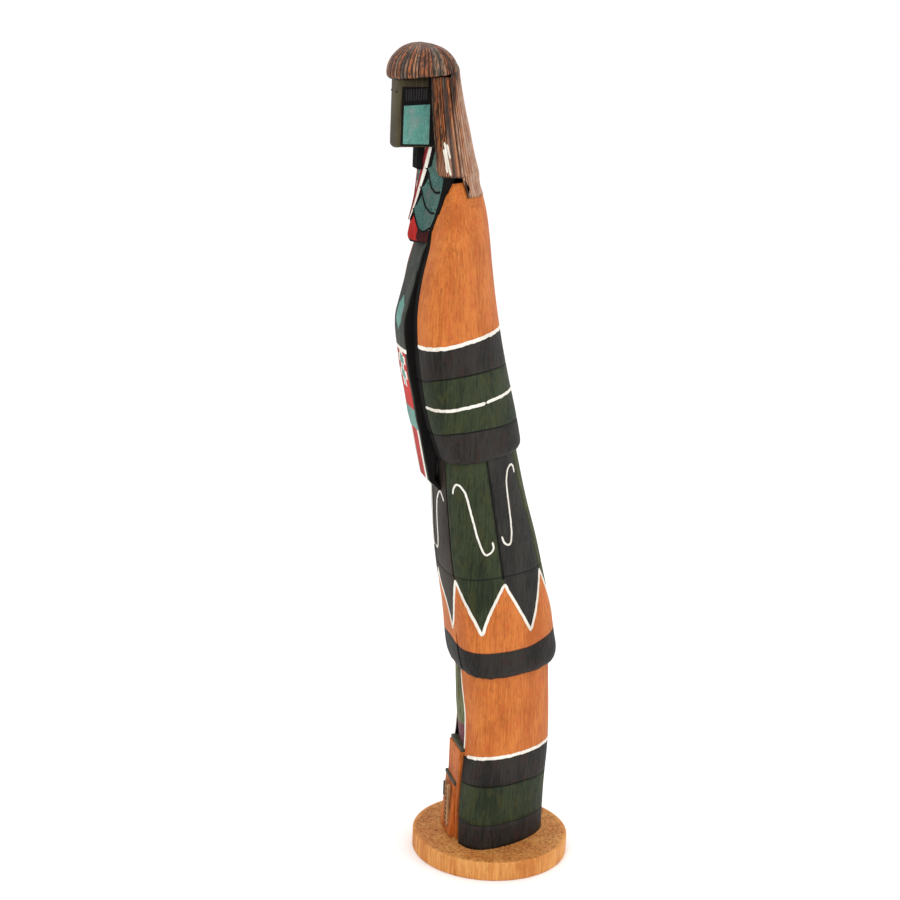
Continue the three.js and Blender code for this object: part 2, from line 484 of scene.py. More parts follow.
SEAM_DEPTH = 0.9
SLIT_DEPTH = 2.2
SLIT_TOP = 127
PANEL_FOOT = 158
CAPE_SEAM_TOP = 350
SLEEVE_FEET = 5, 11
SHAWL_LIP = 108
CAPE_LIP = 223.5


def seam_cut(table, column, height):
    """The cut of the upright seams: deep between the shawl's panels and at the hem's two slits."""
    panel, step = BODY_COLUMNS[column]
    beside = min(step, PANEL_QUADS[panel] - step)
    seam = panel if step <= PANEL_QUADS[panel] / 2 else (panel + 1) % 7
    share = {0: 1, 1: 0.45}.get(beside, 0)
    if not share or table is ROBE:
        return 0
    if table is CAPE:
        return share * 0.5 if seam in (1, 6) and height < CAPE_SEAM_TOP else 0
    if height > PANEL_FOOT:
        return share * (0.35 if seam in (3, 4) else SEAM_DEPTH)
    if seam in (1, 6) and height < SLIT_TOP:
        return share * SLIT_DEPTH * between(height, SLIT_TOP + 0.5, SLIT_TOP - 7)
    return 0


def body_place(column, row):
    band, share, offset, cut = BODY_ROWS[row]
    table = BANDS[band][0]
    height = row_height(column, row)
    if band in SLEEVE_FEET:
        height = BANDS[band][1](0) + (1 - share) * 2.6
    panel, step = BODY_COLUMNS[column]
    if table is ROBE and panel in (0, 6):
        return notch_point(panel, step, height)
    angle = column_angle(table, column, height)
    spot = sleeve_point(table, angle, height)
    if band in SLEEVE_FEET:
        inner = sleeve_point(BANDS[band - 1][0], angle, BANDS[band - 1][1](0))
        spot = inner.lerp(spot, share)
    if table is SHAWL and height < SHAWL_LIP or table is CAPE and height < CAPE_LIP:
        spot.z += 0.35 * ripple(angle, 5, 8)
    depth = cut + seam_cut(table, column, height)
    axis = Vector((0, spot.y * 0.35 + 0.65 * (measures(table, height)[1] + 18), spot.z))
    return spot + (axis - spot).normalized() * depth


def notch_point(panel, step, height):
    """The walls and floor of the robe's opening."""
    quads = PANEL_QUADS[panel]
    share = step / quads if panel == 0 else 1 - step / quads
    side = 1 if panel == 0 else -1
    half = notch_half(height)
    edge = sleeve_point(ROBE, notch_angle(height), height)
    if share <= 0.5:
        return Vector((side * half * share * 2, NOTCH_FLOOR, height))
    wall = (share - 0.5) * 2
    return Vector((side * half, NOTCH_FLOOR + (edge.y - NOTCH_FLOOR) * wall, height))


# Painted shade: how dark a corner of the body is drawn, by how deep its groove, seam or slit is cut.
def body_cut_shade(column, row):
    band, share, offset, cut = BODY_ROWS[row]
    height = row_height(column, row)
    return min(1, cut * 2 + seam_cut(BANDS[band][0], column, height) * 1.4)


STAIN, SOOT, MOSS, UMBER, SLATE, OLIVE, BLACK = range(7)
# The shawl's two upper bands change from panel to panel.
BAND_PAINT = [SOOT, SOOT, MOSS, SOOT, STAIN, SOOT, SOOT, SOOT, STAIN, None, None, SOOT, SOOT, SOOT,
              MOSS, SOOT, STAIN]
PANEL_PAINT = [UMBER, MOSS, SLATE, OLIVE, SLATE, MOSS, UMBER]


def body_paint(column, row):
    band = BODY_ROWS[row][0] + 1 if BODY_ROWS[row][3] else BODY_ROWS[row + 1][0]
    panel = BODY_COLUMNS[column][0]
    # The front panels are black: on the robe the walls and floor of its opening, and on the cape the strip
    # beside the proud sash, where the black is painted shade.
    if panel in (0, 6) and BANDS[band][0] is not SHAWL:
        return BLACK
    return PANEL_PAINT[panel] if BAND_PAINT[band] is None else BAND_PAINT[band]


body = bmesh.new()
tube(body, len(BODY_COLUMNS), len(BODY_ROWS) - 1, body_place, body_paint, body_cut_shade)
stain = wood_finish("orange_stain", (198, 114, 48), (168, 86, 26), (96, 40, 10),
                    patch=(184, 84, 36), patch_share=0.4, pores=0.5, gloss=0.25, flecks=0.22)
soot = wood_finish("soot_band", (46, 42, 38), (24, 22, 20), (6, 5, 4),
                   patch=(50, 32, 24), patch_share=0.6, relief=0.8)
moss = wood_finish("moss_green", (50, 58, 36), (28, 36, 20), (8, 10, 6),
                   patch=(60, 60, 28), patch_share=0.5, relief=0.8)
umber = wood_finish("umber_panel", (56, 48, 40), (32, 28, 24), (8, 6, 5), relief=0.8)
slate = wood_finish("slate_panel", (48, 46, 42), (28, 28, 26), (6, 6, 6), relief=0.8)
olive = wood_finish("olive_strip", (64, 68, 34), (40, 44, 22), (10, 10, 6), relief=0.8)
black = wood_finish("black_paint", (20, 18, 17), (9, 8, 7), (3, 3, 3),
                    relief=0.6, gloss=0.08)
BODY_PAINTS = [stain, soot, moss, umber, slate, olive, black]
carved_body = set_piece(body, "carved_body", BODY_PAINTS)
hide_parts("figure")


# ---------------------------------------------------------------- white paint
# The stripes, the zigzag edge and the hooked flourishes are thick white brush strokes, laid over
# the carved skin by hand, with uneven edges and rounded ends.
UNEVEN = 0.2
STROKE_ACROSS = [(-0.5, -0.5), (-0.42, 0.55), (-0.16, 1.0), (0.16, 1.0), (0.42, 0.55), (0.5, -0.5)]


def eased(points, steps):
    """A smooth run through the points, with this many steps between each two."""
    run = []
    for index in range(len(points) - 1):
        before = points[max(index - 1, 0)]
        start, end = points[index], points[index + 1]
        after = points[min(index + 2, len(points) - 1)]
        for step in range(steps):
            share = step / steps
            run.append(tuple(
                0.5 * (2 * b + (c - a) * share + (2 * a - 5 * b + 4 * c - d) * share ** 2
                       + (3 * b - a - 3 * c + d) * share ** 3)
                for a, b, c, d in zip(before, start, end, after)))
    run.append(tuple(points[-1]))
    return run


def stroke(bm, skin, run, width, thick=0.28, seed=0.0, blunt=0.5, paint=0):
    """One brush stroke along a run of (angle, height) on a skin; it narrows to blunt at its ends."""
    spots = [skin(angle, height) for angle, height in run]
    length = [0]
    for first, second in zip(spots, spots[1:]):
        length.append(length[-1] + (second - first).length)
    rows = []
    for index, (angle, height) in enumerate(run):
        ahead = spots[min(index + 1, len(spots) - 1)] - spots[max(index - 1, 0)]
        across = skin(angle + 0.4, height) - skin(angle - 0.4, height)
        up = skin(angle, height + 0.4) - skin(angle, height - 0.4)
        normal = across.cross(up).normalized()
        side = ahead.cross(normal).normalized()
        end = min(length[index], length[-1] - length[index]) / width
        share = blunt + (1 - blunt) * min(1, end * 1.6) ** 0.5 if end < 1 else 1
        wander = noise.noise(spots[index] * 0.45 + Vector((seed, 0, 0)))
        grow = 1 + UNEVEN * noise.noise(spots[index] * 0.8 + Vector((0, seed, 5)))
        middle = spots[index] + side * wander * 0.25 * width * UNEVEN * 3
        rows.append([middle + side * a * width * share * grow + normal * b * thick * share
                     for a, b in STROKE_ACROSS])
    tube(bm, len(STROKE_ACROSS), len(rows) - 1, lambda column, row: rows[row][column],
         lambda column, row: paint)


def on(table):
    return lambda angle, height: sleeve_point(table, angle, height)


def level_run(line, start, end, step=2.0):
    count = max(2, round(abs(end - start) / step))
    return [(start + (end - start) * index / count, line(start + (end - start) * index / count))
            for index in range(count + 1)]


white = bmesh.new()
stroke(white, on(CAPE), level_run(cape_stripe, 25.5, 334.5), 2.1, seed=1)
# The cape's lower line is painted in two goes, with a small gap between them.
stroke(white, on(CAPE), level_run(level(252), 27, 122), 1.8, seed=2)
stroke(white, on(CAPE), level_run(level(252.2), 123, 333), 1.7, seed=3)
stroke(white, on(ROBE), level_run(robe_stripe, 30, 330), 2.0, seed=4)
for side in (1, -1):
    edge = [(side * (notch_angle(height) + 1.5), height) for height in range(59, 106, 3)]
    stroke(white, on(ROBE), edge, 1.1, seed=8)
for (first, start), (second, end) in zip(ZIGZAG, ZIGZAG[1:]):
    run = [(first + (second - first) * step / 16, start + (end - start) * step / 16) for step in range(17)]
    stroke(white, on(SHAWL), run, 1.8, seed=first, blunt=0.7)
HOOKS = [
    [(22.9, 196.9), (16.8, 199.9), (10.5, 200.6), (3, 195.9), (1.2, 188), (1.5, 180.2), (1.6, 174.3),
     (-1, 168.5), (-5.5, 169)],
    [(49, 203), (52.6, 206.3), (59.3, 208.3), (70.2, 207.4), (80.5, 203.2), (87.4, 193.7), (92.1, 183.6),
     (96.5, 176.1), (99.9, 172.2), (105.2, 172.9), (108.7, 175.3), (108.3, 178.5)],
    [(147.2, 210.6), (146.7, 213.9), (143.3, 215.1), (136.9, 213.2), (132.7, 206.8), (131.3, 196.3),
     (130.2, 187.9), (128.1, 180.1), (125.5, 176.1), (122.7, 175.5), (119.2, 177.5), (118.1, 180.5)]]
for index, points in enumerate(HOOKS):
    stroke(white, on(SHAWL), eased(points, 6), 1.15, seed=20 + index)
FAR_HOOKS = [(0.8, 14.5), (0.9, 7), (1, 0)]
for points, (squeeze, shift) in zip(HOOKS, FAR_HOOKS):
    mirrored = [(-angle * squeeze - shift, height) for angle, height in points]
    stroke(white, on(SHAWL), eased(mirrored, 6), 1.15, seed=30 + shift)
white_paint = wood_finish("white_paint", (232, 230, 222), (212, 204, 190), (130, 106, 84),
                          pores=0.15, relief=0.35)
set_piece(white, "white_strokes", [white_paint])


# ---------------------------------------------------------------- dress and houses
# Inside the robe's opening stands the front of the dress, and on the disc before it two small
# adobe houses, the lower with a ladder. All are cut from the same block, then stained and painted.
DRESS_FRONT = [(10, -17.0), (58, -17.4), (74, -19.8), (86, -21.2), (100, -22.2), (108.5, -22.6)]
DRESS_TOP = 108.5
DRESS_BACK = NOTCH_FLOOR + 1.5
DRESS_COLUMNS = 28
DRESS_ROWS = 50
DRESS_CREASE = 0.32
CREASE_FOOT = 62
PLUM_TOP = 72


def block(bm, low, high, ease=0.4, paint=0, segments=2):
    """A box between two corners with eased edges."""
    made = bmesh.ops.create_cube(bm, size=1)["verts"]
    low, high = Vector(low), Vector(high)
    bmesh.ops.scale(bm, vec=high - low, verts=made)
    bmesh.ops.translate(bm, vec=(low + high) / 2, verts=made)
    for face in {face for vertex in made for face in vertex.link_faces}:
        face.material_index = paint
    edges = list({edge for vertex in made for edge in vertex.link_edges})
    bmesh.ops.bevel(bm, geom=edges, offset=ease, segments=segments, affect="EDGES", profile=0.5,
                    material=-1, clamp_overlap=True)


def dress_height(row):
    return BASE_HEIGHT + (DRESS_TOP - BASE_HEIGHT) * row / DRESS_ROWS


def dress_place(column, row):
    height = dress_height(row)
    half = notch_half(height) - 0.25
    turn = 2 * pi * column / DRESS_COLUMNS
    x = half * copysign(abs(sin(turn)) ** 0.6, sin(turn))
    if cos(turn) < 0:
        return x, DRESS_BACK, height
    depth = (along(height, *DRESS_FRONT) - DRESS_BACK) * cos(turn) ** 0.5
    crease = DRESS_CREASE * (0.5 - 0.5 * cos(x * 2.2)) if height > CREASE_FOOT else 0
    return x, DRESS_BACK + depth + crease, height


def dress_paint(column, row):
    return 1 if dress_height(row) < PLUM_TOP else 0


HOUSES = [(-10, 10, -21.5, -20.2, 61.5), (-12, 6.5, -24.2, -22.0, 41.0)]
HOUSE_BACK = -8
OPENINGS = [
    ((1.2, -21.3, 50), (4.4, -19.5, 56)), ((-6.5, -21.3, 50), (-3.3, -19.5, 56)),
    ((9.2, -18.5, 47), (10.15, -13.5, 57)), ((-10, -23.9, 27), (-7, -21.5, 35)),
    ((5.6, -20.5, 24), (6.65, -16, 34))]
RUNGS = 8
RUNG_STEP = 2.8
ADOBE, ROOF, HOLE, POLE = 2, 3, 4, 5
dress = bmesh.new()
tube(dress, DRESS_COLUMNS, DRESS_ROWS, dress_place, dress_paint)
for left, right, foot, eave, roof in HOUSES:
    first = len(dress.verts)
    block(dress, (left, foot, BASE_HEIGHT), (right, HOUSE_BACK, roof - 1.6), 0.5, ADOBE)
    dress.verts.ensure_lookup_table()
    for vertex in dress.verts[first:]:
        if vertex.co.y < -15:
            vertex.co.y += (eave - foot) * (vertex.co.z - BASE_HEIGHT) / (roof - BASE_HEIGHT)
    block(dress, (left - 0.4, eave - 0.5, roof - 2.2), (right + 0.4, HOUSE_BACK, roof), 0.6, ROOF)
for low, high in OPENINGS:
    block(dress, low, high, 0.2, HOLE)
for x in (-3.2, 1.6):
    block(dress, (x - 0.45, -24.8, 14), (x + 0.45, -23.2, 38), 0.25, POLE)
for step in range(RUNGS):
    lift = step * RUNG_STEP
    block(dress, (-4, -24.6, 15.5 + lift), (2.4, -23.4, 16.3 + lift), 0.2, POLE)
dress_olive = wood_finish("dress_olive", (110, 112, 78), (70, 72, 50), (20, 18, 12))
dress_plum = wood_finish("dress_plum", (110, 60, 66), (66, 38, 44), (20, 12, 12))
adobe = wood_finish("adobe_stain", (198, 108, 44), (140, 68, 24), (40, 18, 8))
roof_grey = wood_finish("roof_grey", (80, 78, 62), (48, 46, 36), (16, 14, 10))
pole_pale = wood_finish("ladder_pole", (186, 146, 104), (140, 100, 66), (40, 24, 14))
DRESS_PAINTS = [dress_olive, dress_plum, adobe, roof_grey, black, pole_pale]
set_piece(dress, "dress_and_houses", DRESS_PAINTS)


# ---------------------------------------------------------------- sash
# A long flat sash hangs down the cape's front, carved proud of it with square edges. Its ground is
# dark, with a stepped lozenge, a red field, a blue-green block and a striped fringe painted on.
SASH_HALF = 9.5
SASH_FOOT = 202
SASH_LENGTH = 124
SASH_FRONT = [
    (202, -38.6), (207, -43.7), (219, -46.4), (231, -49.0), (238, -51.0), (248.5, -53.0), (261, -55.8),
    (272, -57.6), (277, -58.4), (282, -59.0), (286.5, -59.1), (290, -58.7), (295, -57.5), (299.5, -56.4),
    (308.5, -54.3), (315.5, -52.5), (318.5, -51.8), (322.5, -50.6), (326, -49.0)]
SASH_THICK = 9
EDGE_EASE = 0.6
EDGE_DROP = 0.86
SASH_ROWS = 118
FACE_QUADS = 38
SIDE_QUADS = 5
SASH_AROUND = 2 * FACE_QUADS + 2 * SIDE_QUADS
SASH_GROUND, SASH_RED, SASH_BLUE, SASH_WHITE, SASH_SIDE = range(5)
FRINGE = [(0.7, SASH_GROUND), (5.0, SASH_RED), (5.6, SASH_GROUND), (8.6, SASH_WHITE), (9.5, SASH_GROUND)]
STEPS = [(250, 0), (253.5, 3.2), (257.5, 6.4), (261.5, 3.2), (265.5, 6.4), (269.5, 3.2)]
STEP_EDGE = 2.4
STEP_LEDGE = 1.2
FRINGE_TOP = 232.5
BLUE_TOP = 243.5
FIELD_TOP = 271.5
WHITE_TOP = 273.4
LOZENGE_MIDDLE = 290.5
LOZENGE_HALF = 4.8


def sash_height(row):
    return SASH_FOOT + SASH_LENGTH * row / SASH_ROWS


def sash_place(column, row):
    height = sash_height(row)
    front = along(height, *SASH_FRONT)
    thick = SASH_THICK * (0.4 + 0.6 * between(height, 206, 226))
    back = front + thick
    if column <= FACE_QUADS:
        x = -SASH_HALF + 2 * SASH_HALF * column / FACE_QUADS
        ease = 0.5 * max(0, abs(x) - SASH_HALF + EDGE_EASE) ** 2 / EDGE_EASE ** 2
        return x, front + ease + 0.004 * x * x, height
    column -= FACE_QUADS
    if column <= SIDE_QUADS:
        return SASH_HALF, front + EDGE_DROP + (thick - EDGE_DROP) * column / SIDE_QUADS, height
    column -= SIDE_QUADS
    if column <= FACE_QUADS:
        return SASH_HALF - 2 * SASH_HALF * column / FACE_QUADS, back, height
    return -SASH_HALF, back - (thick - EDGE_DROP) * (column - FACE_QUADS) / SIDE_QUADS, height


def in_steps(side, height):
    """True inside the stepped figure of the sash's red field."""
    reach = 0
    for start, half in STEPS:
        if height >= start:
            reach = half
    return side < reach and height < FIELD_TOP


def sash_motif(x, height):
    """The paint at a spot of the sash's face."""
    side = abs(x)
    if height < FRINGE_TOP:
        return next(paint for edge, paint in FRINGE if side <= edge)
    if height < BLUE_TOP:
        return SASH_BLUE if side < 8.9 else SASH_GROUND
    if height < FIELD_TOP:
        if in_steps(side + STEP_EDGE, height) and in_steps(side, height + STEP_LEDGE):
            return SASH_BLUE
        if in_steps(side, height):
            return SASH_WHITE
        return SASH_RED if side < 8.4 else SASH_GROUND
    if height < WHITE_TOP:
        return SASH_WHITE
    if side < min(LOZENGE_HALF, 1.1 * (8.4 - abs(height - LOZENGE_MIDDLE))):
        return SASH_BLUE
    return SASH_GROUND


def sash_paint(column, row):
    if column >= FACE_QUADS:
        return SASH_SIDE
    x = -SASH_HALF + 2 * SASH_HALF * (column + 0.5) / FACE_QUADS
    return sash_motif(x, sash_height(row + 0.5))


sash = bmesh.new()
tube(sash, SASH_AROUND, SASH_ROWS, sash_place, sash_paint)
sash_ground = wood_finish("sash_ground", (62, 66, 58), (34, 36, 32), (8, 8, 7), relief=0.8)
red = wood_finish("sash_red", (196, 40, 34), (150, 26, 24), (50, 10, 8), pores=0.3)
blue = wood_finish("blue_green", (112, 160, 148), (72, 124, 114), (24, 48, 46),
                   patch=(116, 128, 122), patch_share=0.55, grain=0.7, stretch=1.4, pores=0.3,
                   flecks=0.35)
set_piece(sash, "sash", [sash_ground, red, blue, white_paint, black])


# ---------------------------------------------------------------- collar
# Under the chin lies a collar of three overlapping blue-green scales a side, edged in black, with
# a white and red ribbon down its front to a red pendant. It is carved with the figure and painted.
COLLAR = [
    (325.4, 0, -54.6, -40, 8.8, 1.5), (328, 0, -55.9, -40, 9.8, 1.4), (333, 0, -55.2, -40, 12.0, 1.35),
    (338, 0, -53.9, -39, 13.8, 1.3), (343, 0, -52.7, -38, 14.6, 1.3), (349, 0, -51.7, -36, 14.8, 1.3),
    (360, 0, -51.0, -34, 14.2, 1.3), (372.5, 0, -51.6, -34, 12.5, 1.3)]
SCALE_LINES = [
    [(0, 343), (8, 341.8), (15.5, 340.2), (33, 335.4), (43.5, 332.7), (52.5, 331.7), (63, 331.9),
     (180, 334)],
    [(0, 357), (18, 353), (26, 350.9), (33, 347.4), (43, 343.9), (53.5, 341.7), (63, 340.7), (180, 341)],
    [(0, 366), (28, 362), (38, 360.2), (42, 356.9), (47.5, 353.2), (54, 351.2), (62, 350.4), (180, 351)]]
SCALE_ROWS = 12
SCALE_PROUD = 0.9
COLLAR_COLUMNS = 180
COLLAR_FOOT = 325.4
COLLAR_HEAD = 372.5
COLLAR_AXIS = 42
RED, BLUE, EDGE, WHITE, DULL_RED, SHADED_RED = range(6)
BORDER_ANGLE = 71
PENDANT_ANGLE = 40
# The ribbon's two edges: height, then the angles of its inner and its outer edge.
RIBBON = [
    (336, 1, 8), (338.6, 1.5, 12), (342.8, 2, 17), (349.5, 3, 25), (360.5, 12, 39), (371.3, 29, 50.5),
    (372.5, 30, 52)]
RIBBON_ROWS = 30


def collar_height(angle, row):
    turn = abs((angle + 180) % 360 - 180)
    stops = [COLLAR_FOOT] + [along(turn, *line) for line in SCALE_LINES] + [COLLAR_HEAD]
    band = min(row // SCALE_ROWS, 3)
    return stops[band] + (stops[band + 1] - stops[band]) * (row / SCALE_ROWS - band)


def on_collar(angle, height):
    return sleeve_point(COLLAR, angle, height, 2.3, 0.6)


def outward(spot, forward):
    """The level way out from an upright axis this far forward of the middle."""
    return Vector((spot.x, spot.y + forward, 0)).normalized()


def collar_place(column, row):
    angle = 360 * column / COLLAR_COLUMNS
    spot = on_collar(angle, collar_height(angle, row))
    share = row / SCALE_ROWS - row // SCALE_ROWS
    proud = SCALE_PROUD * (1 - share) if row >= SCALE_ROWS else 0
    return spot + outward(spot, COLLAR_AXIS) * proud


def collar_paint(column, row):
    turn = abs((360 * (column + 0.5) / COLLAR_COLUMNS + 180) % 360 - 180)
    if turn > BORDER_ANGLE or row == 0:
        return EDGE
    # Painted shade: below the scales, the pendant's side facets past PENDANT_ANGLE take a darker copy of its
    # red.
    if row < SCALE_ROWS:
        return SHADED_RED if turn > PENDANT_ANGLE else RED
    return BLUE


def mirrored_run(run, side):
    return [(side * angle, height) for angle, height in run]


def ribbon_strip(bm, side, inner, outer, lift, paint):
    """One stripe of the ribbon: its edges are shares of the way across the ribbon."""
    rows = []
    for row in range(RIBBON_ROWS + 1):
        height = RIBBON[0][0] + (RIBBON[-1][0] - RIBBON[0][0]) * row / RIBBON_ROWS
        edges = [along(height, *[(stop[0], stop[index]) for stop in RIBBON]) for index in (1, 2)]
        spots = []
        for a, b in STROKE_ACROSS:
            share = inner + (outer - inner) * (a + 0.5)
            spot = on_collar(side * (edges[0] + (edges[1] - edges[0]) * share), height)
            spots.append(spot + outward(spot, COLLAR_AXIS) * lift * b)
        rows.append(spots)
    tube(bm, len(STROKE_ACROSS), RIBBON_ROWS, lambda column, row: rows[row][column],
         lambda column, row: paint)


collar = bmesh.new()
tube(collar, COLLAR_COLUMNS, 4 * SCALE_ROWS, collar_place, collar_paint)
for side in (1, -1):
    for line in SCALE_LINES:
        edge = [stop for stop in line if 0 < stop[0] < 66] + [(BORDER_ANGLE + 2, line[-1][1])]
        stroke(collar, on_collar, eased(mirrored_run(edge, side), 5), 1.2, thick=1.2, seed=3, paint=EDGE)
    ribbon_strip(collar, side, -0.04, 1.2, 1.0, EDGE)
    ribbon_strip(collar, side, 0.02, 1.0, 1.3, WHITE)
    ribbon_strip(collar, side, 0.12, 0.7, 1.5, DULL_RED)
scale_blue = wood_finish("scale_blue", (86, 120, 110), (50, 84, 78), (14, 26, 24),
                         patch=(88, 92, 88), patch_share=0.7, grain=0.7, stretch=1.4, pores=0.4,
                         flecks=0.5)
shaded_pendant_red = wood_finish("pendant_painted_shade", (74, 16, 18), (44, 8, 10), (20, 4, 4), pores=0.2)
ribbon_red = wood_finish("ribbon_red", (150, 40, 46), (112, 24, 32), (40, 8, 10), pores=0.2)
set_piece(collar, "collar", [red, scale_blue, black, white_paint, ribbon_red, shaded_pendant_red])


# ---------------------------------------------------------------- mask and beard
# The case mask is a plain upright block with a rounded olive front. Each cheek is a blue-green
# panel under a ribbed black one, edged in black, and a short black beard hangs under the chin.
MASK = [
    (371.7, 0, -64.0, -39.0, 9.2, 2.5), (371.9, 0, -64.5, -38.4, 9.7, 2.5),
    (372.5, 0, -64.9, -38.0, 10.0, 2.5), (388, 0, -64.9, -38.0, 10.0, 2.5),
    (405, 0, -64.9, -38.0, 10.0, 2.5)]
MASK_HALF = 10
MASK_WIDEST = 0.1
MASK_COLUMNS = 96
MASK_ROWS = [371.7, 371.9, 372.5, 373.5] + [376 + 3.2 * step for step in range(10)]
MASK_LEAN = 0.07
CHIN_SAG = 1.2
MASK_OLIVE, MASK_BLACK, MASK_BLUE, MASK_RIB = range(4)
# The panels of a cheek: front and rear, foot and head, how proud they stand, paint and edge.
CHEEK = [
    (-63.2, -46.0, 372.3, 399.8, 0.12, MASK_BLACK, 0.12),
    (-50.6, -44.0, 372.3, 403.6, 0.3, MASK_BLACK, 0.12),
    (-62.1, -49.4, 373.0, 390.9, 0.5, MASK_BLUE, 0.25),
    (-61.9, -50.6, 392.6, 398.9, 0.25, MASK_BLACK, 0.12)]
for rib in range(9):
    rib_y = -61.2 + rib * 1.22
    CHEEK.append((rib_y - 0.42, rib_y + 0.42, 393.0, 398.5, 0.5, MASK_RIB, 0.2))


def mask_place(column, row):
    angle = 360 * column / MASK_COLUMNS
    spot = sleeve_point(MASK, angle, MASK_ROWS[row], 9, MASK_WIDEST)
    sag = 1 - (spot.x / MASK_HALF) ** 2
    if spot.y < -60 and row < 4:
        spot.z -= CHIN_SAG * sag
    return spot


mask = bmesh.new()
tube(mask, MASK_COLUMNS, len(MASK_ROWS) - 1, mask_place)


def cheek_panel(side, front, rear, foot, head, proud, paint, ease):
    """A panel laid on a cheek; its upper part leans up to the rear."""
    first = len(mask.verts)
    xs = sorted((side * (MASK_HALF - 0.5), side * (MASK_HALF + proud)))
    block(mask, (xs[0], front, foot), (xs[1], rear, head), ease, paint)
    mask.verts.ensure_lookup_table()
    for vertex in mask.verts[first:]:
        vertex.co.z += MASK_LEAN * (vertex.co.y + 62) * between(vertex.co.z, 378, 390)


for side in (1, -1):
    for panel in CHEEK:
        cheek_panel(side, *panel)
# Two eye slits under the bangs are black blocks at the olive front: painted shade standing in for slits cut
# in.
for x in (-4.4, 4.4):
    block(mask, (x - 1.7, -64.9, 396.6), (x + 1.7, -60, 397.4), 0.1, MASK_BLACK)
block(mask, (-4.9, -53.3, 360.2), (4.9, -42, 373), 1.2, MASK_BLACK, 4)
for strand in range(5):
    x = -3.8 + strand * 1.9
    block(mask, (x - 0.6, -53.6, 360.6), (x + 0.6, -52, 372.6), 0.35, MASK_BLACK)
mask_olive = wood_finish("mask_olive", (74, 66, 40), (48, 40, 26), (14, 12, 8), relief=0.7)
rib_grey = wood_finish("rib_grey", (50, 47, 46), (30, 28, 29), (6, 6, 6))
set_piece(mask, "mask", [mask_olive, black, blue, rib_grey])


# ---------------------------------------------------------------- hair
# Bobbed hair under a bowl-shaped cap of bangs: strands are cut with a gouge from the crown to the
# rim and down the sides and back, then scorched and rubbed back on the ridges. Painted shade
# darkens the cuts, the underside of the rim and the tucked ends of the locks.
CROWN = [
    (402.6, 0, -66.9, -34.9, 17.0, 2.3), (403.4, 0, -67.8, -34.2, 18.1, 2.3),
    (406, 0, -68.2, -34.4, 18.5, 2.3), (410, 0, -67.4, -35.3, 18.1, 2.3),
    (414, 0, -65.0, -37.6, 16.2, 2.3), (417.6, 0, -61.0, -42.0, 12.4, 2.3),
    (419.4, 0, -56.8, -47.2, 6.9, 2.3), (419.95, 0, -53.6, -51.6, 2.0, 2.3)]
HAIR = [
    (353, 0, -33, -29, 8.0, 5), (357.2, 0, -36, -27, 12.0, 5), (357.8, 0, -44.8, -25.0, 16.3, 5),
    (359, 0, -45.4, -23.6, 16.5, 5), (368, 0, -46.2, -26.2, 16.8, 5), (380, 0, -47.6, -29.4, 17.3, 5),
    (392, 0, -49.0, -32.2, 17.6, 5), (405, 0, -49.8, -35.6, 17.6, 5)]
BACK = [
    (348, 0, -43, -20.6, 16.0, 5), (358, 0, -45.4, -21.8, 16.5, 5), (368, 0, -46.2, -24.8, 16.9, 5),
    (380, 0, -47.6, -27.9, 17.5, 5), (392, 0, -49.0, -31.1, 17.9, 5), (409, 0, -49.8, -34.9, 18.1, 5)]
CROWN_COLUMNS = 560
CROWN_ROWS = 26
BACK_ROWS = 46
BACK_FOOT = 348.6
HAIR_COLUMNS = 440
HAIR_ROWS = 44
HAIR_FOOT = 353
HAIR_HEAD = 405
TUCK_TOP = 358
CROWN_FOOT = 402.6
CROWN_TOP = 419.95
RIM_RISE = 2
RIM_LEAN = 0.13
# How far round from the back the back hair runs: at the rim, over the hair and over the cape.
BACK_TURN = 74
HAIR_SWEEP = 84
CAPE_SWEEP = 66
HAIR_AXIS = 36
CROWN_MIDDLE = Vector((0, -51, 404))
TUCKED_SPOT = Vector((0, -40, 405))


def strands(count, narrow, wide, seed):
    """Shares columns out to strands: for each, how far across its strand it lies, and a shade."""
    dice = Random(seed)
    shares = []
    while len(shares) < count:
        width = min(dice.randint(narrow, wide), count - len(shares))
        if count - len(shares) - width < narrow:
            width = count - len(shares)
        shade = dice.random()
        shares += [(step / width, shade) for step in range(width)]
    return shares


CROWN_STRANDS = strands(CROWN_COLUMNS, 6, 12, 4)
HAIR_STRANDS = strands(HAIR_COLUMNS, 6, 12, 9)


def ridge(share):
    """The rounded top of a strand, 0 in the cuts beside it."""
    return sin(pi * share) ** 0.6


def crown_skin(turn, share):
    """The skin of the cap from its rim, share 0, to its top. The rim leans up to the rear."""
    foot = CROWN_FOOT + RIM_RISE * between(abs(turn - 180), BACK_TURN + 8, BACK_TURN - 8)
    spot = sleeve_point(CROWN, turn, foot + (CROWN_TOP - foot) * sin(radians(90 * share)), 2.1, 0.7)
    spot.z += RIM_LEAN * (min(spot.y, -42) + 67) * max(0, 1 - share * 4)
    return spot


def back_skin(across, drop):
    """The skin of the back hair, from its foot at drop 0 to the cap's rim at 1; across runs -1 to 1."""
    rim = crown_skin(180 + BACK_TURN * across, 0)
    height = BACK_FOOT + (rim.z - BACK_FOOT) * drop
    hair = sleeve_point(BACK, 180 + HAIR_SWEEP * across, height, 2.2, 0.4)
    cape = sleeve_point(CAPE, 180 + CAPE_SWEEP * across, height + 3.2)
    cape += outward(cape, HAIR_AXIS) * 0.5
    cape.z = height
    spot = cape.lerp(hair, between(height, 351, 360) ** 0.8)
    lag = between(drop, 0.86, 1)
    return spot.lerp(rim, lag * lag)


